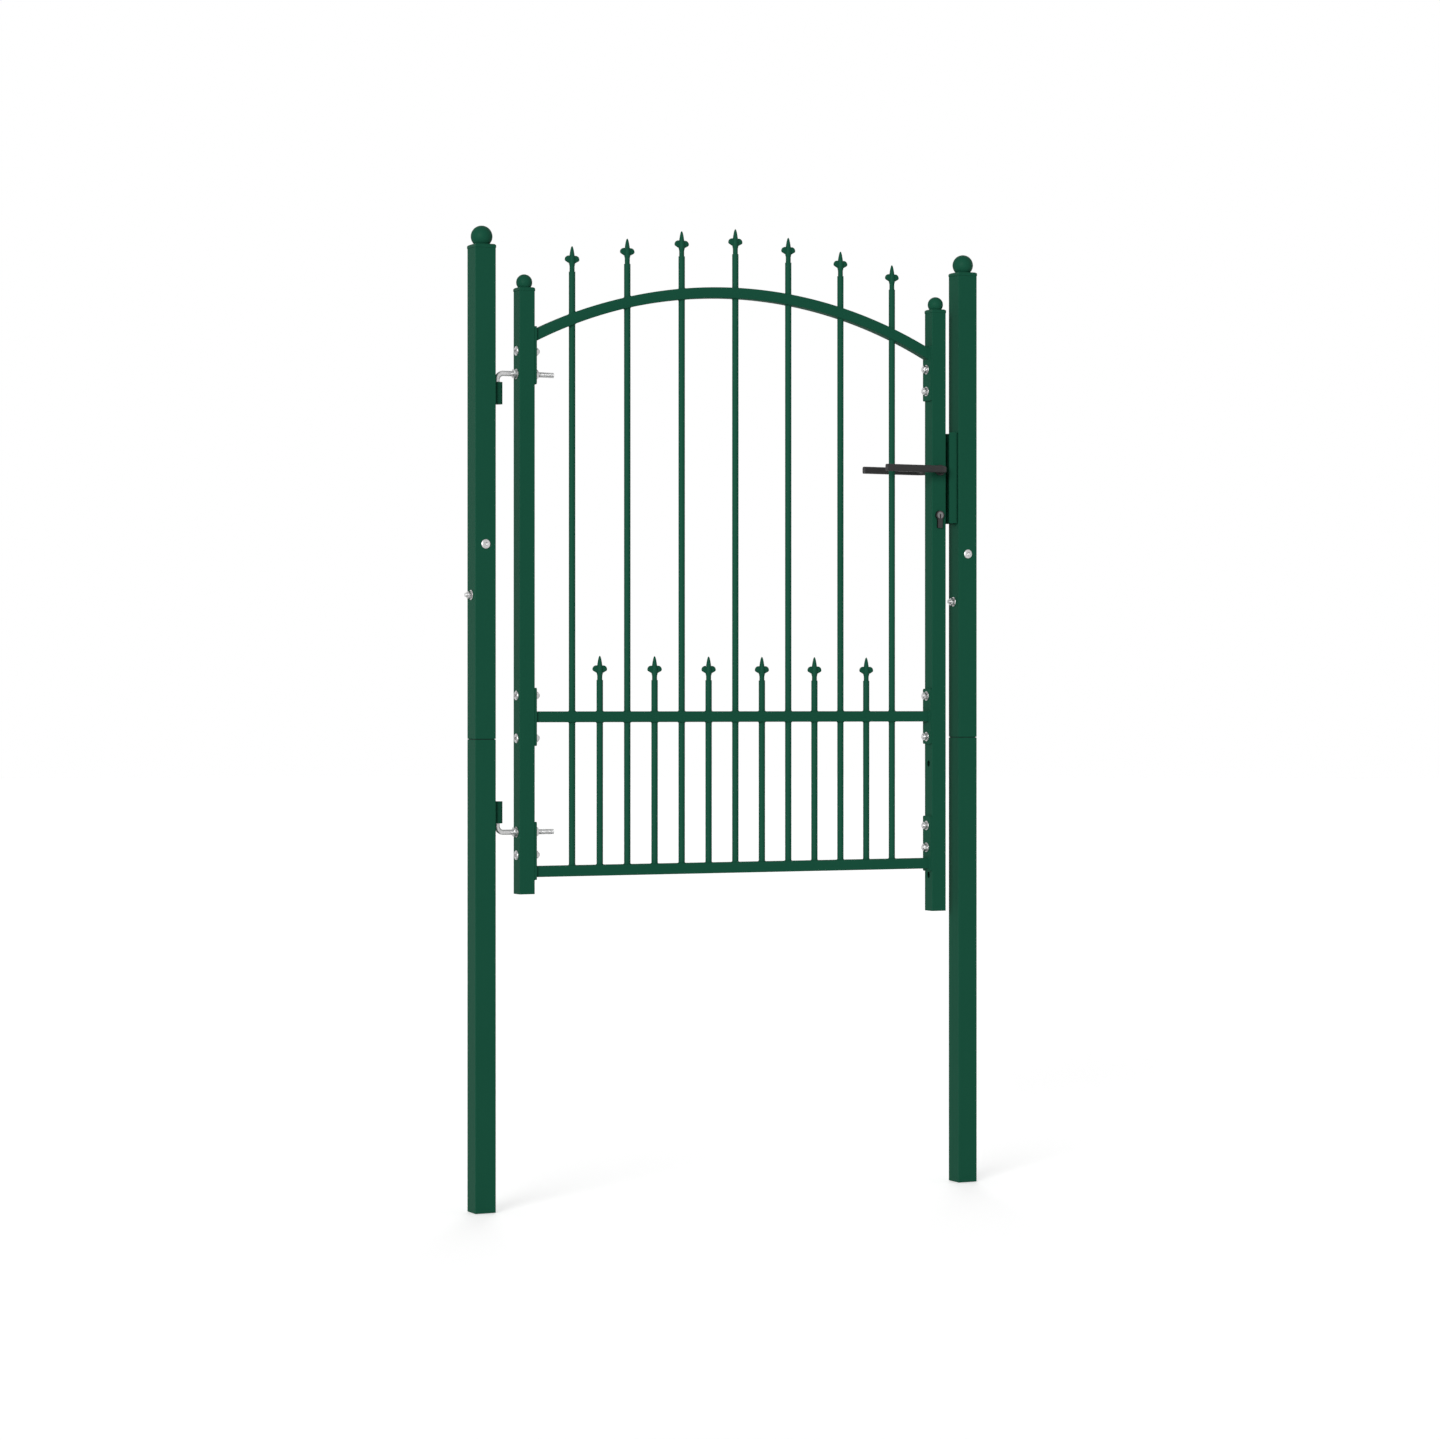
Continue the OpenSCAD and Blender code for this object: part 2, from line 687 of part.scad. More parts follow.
// Block from the face plate's outer side to the end of a pocket in the case
module bolt_pocket(size, z, room) {
    x1 = latch_stile_x + stile_w / 2;
    translate([x1 - bolt_depth, -size[0] / 2 - room, z - size[1] / 2 - room])
        cube([bolt_depth + room * 10, size[0] + 2 * room, size[1] + 2 * room]);
}

// Block that is drawn in level with the face plate
module drawn_bolt(size, z) {
    x1 = latch_stile_x + stile_w / 2;
    color(zinc) translate([x1 - bolt_depth, -size[0] / 2, z - size[1] / 2])
        cube([bolt_depth, size[0], size[1]]);
}

module latch_tongue() { drawn_bolt(tongue, tongue_z); }
module dead_bolt() { drawn_bolt(dead_bolt_size, dead_bolt_z); }

module lock_face_plate() {
    color(zinc) difference() {
        translate([case_x1, 0, case_z])
            rotate([90, 0, 90]) linear_extrude(face_t) square([face_w, face_h], center = true);
        bolt_pocket(tongue, tongue_z, lock_clear);
        bolt_pocket(dead_bolt_size, dead_bolt_z, lock_clear);
    }
}

// Levers: a round foot, a neck out of the stile, an elbow and a level grip

module lever_section() { round_rect([lever_t, lever_h], lever_corner_r); }

module lever() {
    neck_l = lever_reach - lever_bend_r - lever_base_y;
    color(dark) {
        translate([0, -lever_base_y, 0])
            rotate([90, 0, 0]) cylinder(d = lever_foot_d, h = lever_foot_l);
        translate([0, -lever_base_y, 0])
            rotate([90, 0, 0]) linear_extrude(neck_l) lever_section();
        translate([-lever_bend_r, -lever_base_y - neck_l, 0])
            rotate([0, 0, -90]) rotate_extrude(angle = 90)
                translate([lever_bend_r, 0]) lever_section();
        translate([-lever_l, -lever_reach, 0])
            rotate([90, 0, 90]) linear_extrude(lever_l - lever_bend_r) lever_section();
    }
}

module front_lever() { translate([latch_stile_x, 0, lever_z]) lever(); }
module back_lever() { translate([latch_stile_x, 0, lever_z]) mirror([0, 1, 0]) lever(); }

module lever_spindle() {
    color(zinc) translate([latch_stile_x, 0, lever_z])
        cube([spindle_w, 2 * lever_base_y, spindle_w], center = true);
}

// Keeper: a bent channel on the latch post that the lock closes into

module keeper_outline(d, w, r) {
    translate([-d, -w / 2]) square([d - r, w]);
    translate([-d, -w / 2 + r]) square([d, w - 2 * r]);
    for (s = [-1, 1]) translate([-r, s * (w / 2 - r)]) circle(r);
}

module latch_keeper() {
    color(green) translate([latch_post_face, 0, keeper_z - keeper_h / 2])
        linear_extrude(keeper_h)
            difference() {
                keeper_outline(keeper_d, post_w, keeper_bend_r);
                translate([-keeper_t, 0])
                    keeper_outline(keeper_d, post_w - 2 * keeper_t, keeper_bend_r - keeper_t);
            }
}

post_lower(0);  // hinge_post_lower
post_upper(0);  // hinge_post_upper
post_sleeve(0);  // hinge_post_sleeve
post_cap(0);  // hinge_post_cap
post_lower(post_spacing);  // latch_post_lower
post_upper(post_spacing);  // latch_post_upper
post_sleeve(post_spacing);  // latch_post_sleeve
post_cap(post_spacing);  // latch_post_cap
post_bolts(0);  // hinge_post_bolts
post_bolts(post_spacing);  // latch_post_bolts
upper_hinge_barrel();
lower_hinge_barrel();
latch_keeper();
hinge_stile();
latch_stile();
stile_cap(hinge_stile_x);  // hinge_stile_cap
stile_cap(latch_stile_x);  // latch_stile_cap
arch_rail();
middle_rail();
bottom_rail();
tall_bars();
short_bars();
tall_spears();
short_spears();
arch_hinge_plate();
arch_latch_plate();
middle_hinge_plate();
middle_latch_plate();
bottom_hinge_plate();
bottom_latch_plate();
upper_hinge_bolt();
lower_hinge_bolt();
lock_case();
lock_face_plate();
latch_tongue();
dead_bolt();
key_cylinder();
front_lever();
back_lever();
lever_spindle();
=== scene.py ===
# %% [markdown]
# # A spiked fence gate
# The gate is an arched steel leaf between two square posts. Its tubes, bars, spears and
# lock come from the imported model, at their real size. This lesson adds what a welder and
# a fitter add: the bolts and nuts, the rolled threads, the weld beads, and the finish of
# every surface.

# %% Load the fixed frame
import json
import math

import bmesh
import bpy
from bmesh.types import BMFace, BMVert
from mathutils import Matrix, Vector


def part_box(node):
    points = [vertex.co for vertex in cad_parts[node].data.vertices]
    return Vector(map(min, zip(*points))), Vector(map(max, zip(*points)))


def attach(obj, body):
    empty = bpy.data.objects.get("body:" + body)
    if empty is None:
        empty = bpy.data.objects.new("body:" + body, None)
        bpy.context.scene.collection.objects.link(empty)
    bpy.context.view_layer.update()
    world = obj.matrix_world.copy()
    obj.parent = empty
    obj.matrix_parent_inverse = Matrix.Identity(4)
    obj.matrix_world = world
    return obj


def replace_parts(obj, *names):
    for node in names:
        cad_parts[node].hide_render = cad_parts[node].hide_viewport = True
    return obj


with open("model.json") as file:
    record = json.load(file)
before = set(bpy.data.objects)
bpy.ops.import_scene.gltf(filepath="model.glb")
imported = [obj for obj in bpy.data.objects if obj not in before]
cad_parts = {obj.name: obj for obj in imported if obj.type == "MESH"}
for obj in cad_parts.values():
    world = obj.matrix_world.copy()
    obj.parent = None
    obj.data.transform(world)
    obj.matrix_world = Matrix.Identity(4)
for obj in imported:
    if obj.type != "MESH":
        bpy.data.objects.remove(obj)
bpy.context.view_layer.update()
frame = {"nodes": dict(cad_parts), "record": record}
nodes = frame["nodes"]
MM = 0.001

# %% [markdown]
# ## The camera
# The photograph was taken level, from the left and about halfway up, with a long lens, so
# upright lines stay upright. A level camera with a small vertical shift gives the same
# picture: tilting it instead would make the posts lean together.

# %% Set up the camera
VIEW_TURN = 25.63
FOCAL_PIXELS = 3625.2
PICTURE_PIXELS = 1440
HORIZON_ROW = 705.9
CAMERA_PLACE = (-2.4543, -6.1153, 0.918)
SENSOR_MM = 36
FAR_CLIP = 200

lens = bpy.data.cameras.new("photo_camera")
lens.sensor_fit = "HORIZONTAL"
lens.sensor_width = SENSOR_MM
lens.lens = FOCAL_PIXELS / PICTURE_PIXELS * SENSOR_MM
lens.shift_y = (HORIZON_ROW - PICTURE_PIXELS / 2) / PICTURE_PIXELS
lens.clip_end = FAR_CLIP
camera = bpy.data.objects.new("photo_camera", lens)
camera.location = CAMERA_PLACE
camera.rotation_euler = (math.radians(90), 0, math.radians(-VIEW_TURN))
bpy.context.scene.collection.objects.link(camera)
bpy.context.scene.camera = camera
bpy.context.scene.view_settings.view_transform = "Standard"
print("lens:", round(lens.lens, 2), "mm")

# %% [markdown]
# ## Shader sums in plain Python
# A node tree is a sum written as boxes and wires. Wrapping a socket in a small class lets
# the same sum be written as an expression: `0.4 + 0.1 * grain` adds two Math nodes and
# joins them up. Everything that isn't plain arithmetic goes through one method, `node`.
# The same two classes serve the materials and the world behind the gate.

# %% A socket that understands arithmetic
class Value:
    """One output socket, with operators that add Math nodes: a | b is the greater of the two."""

    def __init__(self, shading, socket):
        self.shading = shading
        self.socket = socket

    def math(self, operation, other):
        return self.shading.node("ShaderNodeMath", {"operation": operation}, {0: self, 1: other})

    def __add__(self, other):
        return self.math("ADD", other)

    def __mul__(self, other):
        return self.math("MULTIPLY", other)

    def __or__(self, other):
        return self.math("MAXIMUM", other)

    def __lt__(self, other):
        return self.math("LESS_THAN", other)

    def __gt__(self, other):
        return self.math("GREATER_THAN", other)

    __radd__ = __add__
    __rmul__ = __mul__
    __ror__ = __or__


# %% A node tree made of such sockets
class Shading:
    """The nodes of a material or of the world, and the one shader node that they feed."""

    def __init__(self, owner, shader, **fixed):
        owner.use_nodes = True
        self.tree = owner.node_tree
        self.shader = self.tree.nodes[shader]
        self.drive(**fixed)

    def node(self, kind, settings, inputs, output=0):
        """Add a node: its settings first, then the values or links of its sockets."""
        made = self.tree.nodes.new(kind)
        for name, value in settings.items():
            setattr(made, name, value)
        for name, value in inputs.items():
            self.feed(made.inputs[name], value)
        return Value(self, made.outputs[output])

    def feed(self, socket, value):
        """Link a socket to a value, or set it to a plain number or colour."""
        if isinstance(value, Value):
            self.tree.links.new(value.socket, socket)
        else:
            socket.default_value = value

    def drive(self, **sockets):
        """Feed sockets of the shader, named with _ for a space."""
        for name, value in sockets.items():
            self.feed(self.shader.inputs[name.replace("_", " ")], value)

    def mix(self, factor, first, second):
        """A colour between two colours."""
        sockets = {"Factor": factor, 6: first, 7: second}
        return self.node("ShaderNodeMix", {"data_type": "RGBA"}, sockets, 2)

    def in_view(self):
        """1 for rays from the camera, a mirror or glass, and 0 for rays that only carry light."""
        seen = self.node("ShaderNodeLightPath", {}, {}, "Is Camera Ray")
        for kind in ("Is Glossy Ray", "Is Transmission Ray"):
            seen = seen | self.node("ShaderNodeLightPath", {}, {}, kind)
        return seen


# %% A material with the textures that the finishes share
class Finish(Shading):
    """A material under construction, on one Principled shader."""

    def __init__(self, name, **fixed):
        self.material = bpy.data.materials.new(name)
        super().__init__(self.material, "Principled BSDF", **fixed)

    def place(self):
        """The piece's own coordinates, in metres."""
        return self.node("ShaderNodeTexCoord", {}, {}, "Object")

    def noise(self, scale, detail=2.0, roughness=0.5, vector=None):
        """Cloudy noise on Object coordinates, from 0 to 1, with that many lumps to a metre."""
        where = vector or self.place()
        sockets = {"Vector": where, "Scale": scale, "Detail": detail, "Roughness": roughness}
        return self.node("ShaderNodeTexNoise", {}, sockets)

    def bump(self, height, depth):
        """A bumped normal whose height of 1 stands for that depth in metres."""
        sockets = {"Height": height, "Distance": depth, "Strength": 1.0}
        self.drive(Normal=self.node("ShaderNodeBump", {}, sockets))


def grey(level):
    """A neutral colour."""
    return (level, level, level, 1)


# %% [markdown]
# ## Green powder coat
# The tubes are sprayed with dry powder that melts into a skin in an oven. Close up, the
# skin has a fine orange peel and a faint grain in its gloss; from a few steps away it is
# one even, deep green. The grain is under a millimetre, so it is bump and not geometry.
# The caps are moulded in the same green, with a finer grain and a little more gloss.

# %% Make the powder coat, the moulded green of the caps and the primer with painted shade
GREEN_DEEP = (0.0058, 0.0570, 0.0315, 1)
GREEN_LIGHT = (0.0086, 0.0675, 0.0393, 1)
# The primer's dark tones are partly painted shade: they darken a post's joint line as the shadow in
# its groove would.
PRIMER_SHADE_DEEP = (0.004, 0.011, 0.008, 1)
PRIMER_SHADE_LIGHT = (0.008, 0.018, 0.014, 1)
GRAIN_FINER = 3


def make_green(name, peel_scale, peel_depth, roughness):
    """A green skin with its own grain: lumps to a metre, their depth and the roughness."""
    finish = Finish(name, Specular_IOR_Level=0.028)
    cloud = finish.noise(scale=5, detail=3)
    grain = finish.noise(scale=peel_scale * GRAIN_FINER, detail=2)
    peel = finish.noise(scale=peel_scale, detail=3, roughness=0.6)
    shade = 0.65 * cloud + 0.35 * grain
    finish.drive(Base_Color=finish.mix(shade, GREEN_DEEP, GREEN_LIGHT))
    finish.drive(Roughness=roughness + 0.14 * grain + 0.06 * cloud)
    finish.bump(peel + 0.3 * grain, peel_depth)
    return finish.material


def make_primer_and_seam_shade():
    """A dull primer on the inner sleeve, seen only at the joint line of a post; its dark grey is
    partly painted shade, for the shadow in that groove.
    """
    finish = Finish("primer_and_seam_shade", Specular_IOR_Level=0.1)
    cloud = finish.noise(scale=60, detail=4)
    finish.drive(Base_Color=finish.mix(cloud, PRIMER_SHADE_DEEP, PRIMER_SHADE_LIGHT))
    finish.drive(Roughness=0.7 + 0.2 * cloud)
    return finish.material


powder_coat = make_green("green_powder_coat", peel_scale=750, peel_depth=0.03 * MM, roughness=0.42)
cap_plastic = make_green("green_cap_plastic", peel_scale=1600, peel_depth=0.01 * MM, roughness=0.36)
primer_and_seam_shade = make_primer_and_seam_shade()
print("made", powder_coat.name, cap_plastic.name, "and", primer_and_seam_shade.name)

# %% [markdown]
# ## Zinc, black levers, steel and the key cylinder
# Fasteners are plated with zinc, which grows in small crystals: each catches the light a
# little differently. The cells of a Voronoi texture stand for them, because a picture of
# zinc would stretch over the small parts. A rolled thread is burnished, and its zinc is
# also made lighter as painted light, to make up for the shade in its grooves. The
# levers have a satin black skin over a casting. The face plate, the tongue and the dead
# bolt of the lock are brushed steel, which is noise drawn out along one way.
# The key cylinder is dark nickel, turned on a lathe, with a painted highlight on its plug.

# %% Make the zinc of the fasteners and of their threads
def make_zinc(name, dark, light):
    """Zinc plate between a dark and a light grey."""
    finish = Finish(name, Metallic=1.0)
    cells = {"Vector": finish.place(), "Scale": 420}
    crystals = finish.node("ShaderNodeTexVoronoi", {}, cells, "Color")
    spangle = finish.node("ShaderNodeSeparateColor", {}, {"Color": crystals})
    cloud = finish.noise(scale=90, detail=4)
    shade = 0.55 * spangle + 0.45 * cloud
    finish.drive(Base_Color=finish.mix(shade, grey(dark), grey(light)))
    finish.drive(Roughness=0.26 + 0.16 * spangle + 0.10 * cloud)
    finish.bump(cloud, depth=0.04 * MM)
    return finish.material


zinc_plate = make_zinc("zinc_plate", dark=0.42, light=0.64)
# The threads' zinc is a lighter grey: partly burnish, partly painted light that makes up for the
# shade in their grooves.
rolled_zinc_painted_light = make_zinc("rolled_zinc_painted_light", dark=0.48, light=0.70)
print("made", zinc_plate.name, "and", rolled_zinc_painted_light.name)


# %% Make the black of the levers and the steel of the lock
def make_black_coat():
    """A satin black skin with a fine grain."""
    finish = Finish("black_lever_coat", Specular_IOR_Level=0.22)
    grain = finish.noise(scale=2200, detail=2)
    cloud = finish.noise(scale=40, detail=3)
    finish.drive(Base_Color=finish.mix(cloud, grey(0.015), grey(0.026)))
    finish.drive(Roughness=0.40 + 0.18 * grain)
    finish.bump(grain, depth=0.05 * MM)
    return finish.material


def make_brushed_steel():
    """Satin steel, brushed along its length, so its lines run up and down."""
    finish = Finish("brushed_steel", Metallic=1.0)
    drawn_out = {"Vector": finish.place(), "Scale": (1, 1, 0.02)}
    stretched = finish.node("ShaderNodeMapping", {}, drawn_out)
    lines = finish.noise(scale=2600, detail=3, vector=stretched)
    cloud = finish.noise(scale=30, detail=3)
    shade = 0.7 * lines + 0.3 * cloud
    finish.drive(Base_Color=finish.mix(shade, grey(0.20), grey(0.36)))
    finish.drive(Roughness=0.30 + 0.18 * lines)
    finish.bump(lines, depth=0.03 * MM)
    return finish.material


black_coat = make_black_coat()
brushed_steel = make_brushed_steel()
print("made", black_coat.name, "and", brushed_steel.name)

# %% Make the nickel of the key cylinder
PLUG_SHARE = 0.38


def make_nickel():
    """Dark nickel, with a painted highlight: the plug inside a radius round the key's axis is a
    lighter grey.
    """
    finish = Finish("dark_nickel", Metallic=1.0)
    low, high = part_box("key_cylinder")
    width = high.x - low.x
    axis = Vector(((low.x + high.x) / 2, 0, high.z - width / 2))
    moved = {"Vector": finish.place(), "Location": -axis, "Scale": (1, 0, 1)}
    offset = finish.node("ShaderNodeMapping", {}, moved)
    reach = finish.node("ShaderNodeVectorMath", {"operation": "LENGTH"}, {0: offset}, "Value")
    plug = reach < PLUG_SHARE * width
    lathe = finish.noise(scale=700, detail=3)
    body = finish.mix(lathe, grey(0.035), grey(0.065))
    # Painted highlight: the plug is a lighter grey than the body, standing in for the glint on its
    # face.
    plug_highlight = finish.mix(lathe, grey(0.13), grey(0.24))
    finish.drive(Base_Color=finish.mix(plug, body, plug_highlight))
    finish.drive(Roughness=0.34 + 0.16 * lathe)
    finish.bump(lathe, depth=0.03 * MM)
    return finish.material


dark_nickel = make_nickel()
print("made", dark_nickel.name)

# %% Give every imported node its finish
finish_of_slot = {
    "green_coat": powder_coat,
    "green_cap": cap_plastic,
    "primed_steel": primer_and_seam_shade,
    "zinc": zinc_plate,
    "cylinder_metal": dark_nickel,
    "lever_black": black_coat,
}
for subpart in frame["record"]["subparts"]:
    mesh = nodes[subpart["node"]].data
    mesh.materials.clear()
    mesh.materials.append(finish_of_slot[subpart["material_slot"]])
for lock_piece in ("lock_face_plate", "latch_tongue", "dead_bolt"):
    nodes[lock_piece].data.materials[0] = brushed_steel

# %% [markdown]
# ## Fasteners
# A nut, a washer and a bolt head are all turned shapes, so each starts as half an outline
# that is spun round its axis. A nut or a socket then has its round rings pulled in to a
# hexagon. A six-sided prism would be quicker, but it lacks the round chamfer at the ends
# of a real nut. Every fastener is made standing on the Z axis and then turned into its
# hole.

# %% Turned shapes
TURN_STEPS = 36
MERGE_WITHIN = 1e-7


def draw_outline(bm, points):
    """Join (radius, height) points with edges, on the plane of Y = 0."""
    corners = [bm.verts.new((radius, 0, height)) for radius, height in points]
    edges = [bm.edges.new(pair) for pair in zip(corners, corners[1:])]
    return corners + edges


def turn(bm, points):
    """Spin a half outline of (radius, height) points round Z into a closed shape."""
    outline = draw_outline(bm, points)
    bmesh.ops.spin(bm, geom=outline, cent=(0, 0, 0), axis=(0, 0, 1), angle=math.tau,
                   steps=TURN_STEPS, use_merge=True)
    bmesh.ops.remove_doubles(bm, verts=bm.verts, dist=MERGE_WITHIN)
    bmesh.ops.recalc_face_normals(bm, faces=bm.faces)


def pull_to_hexagon(verts, across_flats):
    """Bring points that stand outside a hexagon on Z in to its flats."""
    for vert in verts:
        around = math.atan2(vert.co.y, vert.co.x)
        from_flat = (around % (math.pi / 3)) - math.pi / 6
        limit = across_flats / 2 / math.cos(from_flat)
        reach = math.hypot(vert.co.x, vert.co.y)
        if reach > limit:
            vert.co.x *= limit / reach
            vert.co.y *= limit / reach


# %% Nuts, washers and domed heads
NUT_CHAMFER = 0.47
NUT_SLOPE = 0.14
NUT_MOUTH = 1.1
WASHER_EDGE = 0.25
DOME_STEPS = 8
DOME_RIM = 0.22
DOME_FLAT = 1.12
DOME_NECK = 0.5
SOCKET_MARGIN = 1.01


def make_nut(across_flats, height, bore):
    """A hexagonal nut, chamfered at both ends and countersunk at the far one."""
    bm = bmesh.new()
    corner = across_flats / math.sqrt(3)
    chamfer = NUT_CHAMFER * across_flats
    slope = NUT_SLOPE * height
    turn(bm, [(bore, 0), (chamfer, 0), (corner, slope), (corner, height - slope),
              (chamfer, height), (bore * NUT_MOUTH, height), (bore, height - slope), (bore, 0)])
    pull_to_hexagon(bm.verts, across_flats)
    return bm


def make_washer(radius, height, bore):
    """A flat washer with its outer edges broken."""
    bm = bmesh.new()
    edge = WASHER_EDGE * height
    turn(bm, [(bore, 0), (radius - edge, 0), (radius, edge), (radius, height - edge),
              (radius - edge, height), (bore, height), (bore, 0)])
    return bm


def make_dome_head(radius, height, socket, depth, neck):
    """A low domed head on the plane of Z = 0, with a hexagonal socket and a neck below it."""
    bm = bmesh.new()
    rim = DOME_RIM * height
    well = height - depth
    foot = min(well, 0) - DOME_NECK * height
    mouth = socket / math.sqrt(3)
    flat = mouth * DOME_FLAT
    dome = []
    for step in range(DOME_STEPS + 1):
        angle = math.radians(90 * step / DOME_STEPS)
        reach = flat + (radius - flat) * math.sin(angle)
        dome.append((reach, rim + (height - rim) * math.cos(angle)))
    stem = [(radius, 0), (neck, 0), (neck, foot), (0, foot)]
    turn(bm, [(0, well), (mouth, well), (mouth, height), *dome, *stem])
    inside = mouth * SOCKET_MARGIN
    pull_to_hexagon([vert for vert in bm.verts if vert.co.xy.length < inside], socket)
    return bm


# %% Rolled threads
THREAD_STEPS = 18
THREAD_DEPTH = 0.42
THREAD_RISE = 0.38
THREAD_CREST = 0.55
THREAD_FALL = 0.93
THREAD_MERGE = 1e-6


def cut_ends(bm, cuts):
    """Cut off what lies past each plane, a point and its way out, and close the cut ends."""
    for point, outward in cuts:
        whole = bm.verts[:] + bm.edges[:] + bm.faces[:]
        bmesh.ops.bisect_plane(bm, geom=whole, plane_co=point, plane_no=outward, clear_outer=True)
    bmesh.ops.holes_fill(bm, edges=[edge for edge in bm.edges if edge.is_boundary])
    bmesh.ops.recalc_face_normals(bm, faces=bm.faces)


def make_thread(radius, pitch, length):
    """A rolled thread: one pitch of its outline, spun along a helix and cut off square."""
    bm = bmesh.new()
    root = radius - THREAD_DEPTH * pitch
    ridge = [(root, 0), (radius, THREAD_RISE * pitch), (radius, THREAD_CREST * pitch),
             (root, THREAD_FALL * pitch), (root, pitch)]
    outline = draw_outline(bm, [(reach, height - pitch) for reach, height in ridge])
    turns = math.ceil(length / pitch) + 1
    bmesh.ops.spin(bm, geom=outline, cent=(0, 0, 0), axis=(0, 0, 1),
                   dvec=(0, 0, pitch / THREAD_STEPS), angle=math.tau * turns,
                   steps=THREAD_STEPS * turns)
    bmesh.ops.remove_doubles(bm, verts=bm.verts, dist=THREAD_MERGE)
    cut_ends(bm, [((0, 0, 0), (0, 0, -1)), ((0, 0, length), (0, 0, 1))])
    return bm


# %% Joining small shapes into one piece
SMOOTH_BELOW = 32
FACING = {
    "+X": Matrix.Rotation(math.radians(90), 4, "Y"),
    "-X": Matrix.Rotation(math.radians(-90), 4, "Y"),
    "+Y": Matrix.Rotation(math.radians(-90), 4, "X"),
    "-Y": Matrix.Rotation(math.radians(90), 4, "X"),
    "+Z": Matrix.Identity(4),
}


class Piece:
    """A visual piece that gathers small shapes, then joins the scene as one mesh."""

    def __init__(self, name, finish, body, slot):
        self.name = name
        self.finishes = [finish]
        self.body = body
        self.slot = slot
        self.bm = bmesh.new()

    def add(self, shape, place, facing="+Z", twist=0.0, finish=None):
        """Take in a shape made on the Z axis, turned to face a way and moved to a place."""
        if finish and finish not in self.finishes:
            self.finishes.append(finish)
        for face in shape.faces:
            face.material_index = self.finishes.index(finish) if finish else 0
        turned = FACING[facing] @ Matrix.Rotation(twist, 4, "Z")
        shape.transform(Matrix.Translation(place) @ turned)
        part = bpy.data.meshes.new("part")
        shape.to_mesh(part)
        shape.free()
        self.bm.from_mesh(part)
        bpy.data.meshes.remove(part)

    def finish_piece(self, smooth_below=SMOOTH_BELOW):
        """Make the mesh, smooth over edges below an angle, and fix the piece to its body."""
        mesh = bpy.data.meshes.new(self.name)
        self.bm.to_mesh(mesh)
        self.bm.free()
        for finish in self.finishes:
            mesh.materials.append(finish)
        mesh.shade_smooth()
        mesh.set_sharp_from_angle(angle=math.radians(smooth_below))
        piece = bpy.data.objects.new(self.name, mesh)
        bpy.context.scene.collection.objects.link(piece)
        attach(piece, self.body)
        print("piece", self.name, "faces", len(mesh.polygons))
        return piece


# %% [markdown]
# ## Bolts through the posts
# Each post is two tubes joined over an inner sleeve. One bolt goes through it from the
# front and one from the side: a domed head with a hexagonal socket on one face, a washer,
# a nut and a short threaded tail on the other. One function sets a whole bolt between two
# faces, so that its head and its nut share an axis. It takes a twist as well, because no
# fitter leaves every nut at the same angle.

# %% Bolt sizes and the post bolts
BOLT_RADIUS = 4 * MM
BOLT_PITCH = 1.25 * MM
HEAD_RADIUS = 8.8 * MM
HEAD_HEIGHT = 2.8 * MM
HEAD_SOCKET = 6.4 * MM
SOCKET_DEPTH = 3.6 * MM
WASHER_RADIUS = 9 * MM
WASHER_HEIGHT = 1.6 * MM
NUT_FLATS = 13 * MM
NUT_HEIGHT = 6.5 * MM
POST_TAIL = 4 * MM
POST_FRONT_BOLT_Z = 1.211
POST_SIDE_BOLT_Z = 1.119
FRONT_TWIST = 0.3
SIDE_TWIST = 0.8
OPPOSITE = {"+X": "-X", "-X": "+X", "+Y": "-Y", "-Y": "+Y"}


def add_bolt(piece, head, tail, facing, twist, tail_length):
    """A bolt between two faces: its head on one and its washer, nut and tail on the other."""
    tail_side = OPPOSITE[facing]
    away = FACING[tail_side] @ Vector((0, 0, 1))
    dome = make_dome_head(HEAD_RADIUS, HEAD_HEIGHT, HEAD_SOCKET, SOCKET_DEPTH, BOLT_RADIUS)
    piece.add(dome, head, facing, twist)
    piece.add(make_washer(WASHER_RADIUS, WASHER_HEIGHT, BOLT_RADIUS), tail, tail_side)
    nut_seat = tail + away * WASHER_HEIGHT
    piece.add(make_nut(NUT_FLATS, NUT_HEIGHT, BOLT_RADIUS), nut_seat, tail_side, twist)
    reach = WASHER_HEIGHT + NUT_HEIGHT + tail_length
    piece.add(make_thread(BOLT_RADIUS, BOLT_PITCH, reach), tail, tail_side, finish=rolled_zinc_painted_light)


for post in ("hinge_post", "latch_post"):
    low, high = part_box(post + "_upper")
    middle = (low + high) / 2
    bolts = Piece(post + "_fasteners", zinc_plate, "posts", "zinc")
    front = Vector((middle.x, low.y, POST_FRONT_BOLT_Z))
    back = Vector((middle.x, high.y, POST_FRONT_BOLT_Z))
    add_bolt(bolts, front, back, "-Y", FRONT_TWIST, POST_TAIL)
    right = Vector((high.x, 0, POST_SIDE_BOLT_Z))
    left = Vector((low.x, 0, POST_SIDE_BOLT_Z))
    add_bolt(bolts, right, left, "+X", SIDE_TWIST, POST_TAIL)
    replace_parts(bolts.finish_piece(), post + "_bolts")

# %% [markdown]
# ## Bolts through the stiles
# The infill is welded to six end plates, and each plate is bolted to its stile from the
# outside. On the hinge side two of the bolts give way to the hinge rods. The heights are
# counted from the plates and the middle rail, so that the bolts stay with them.

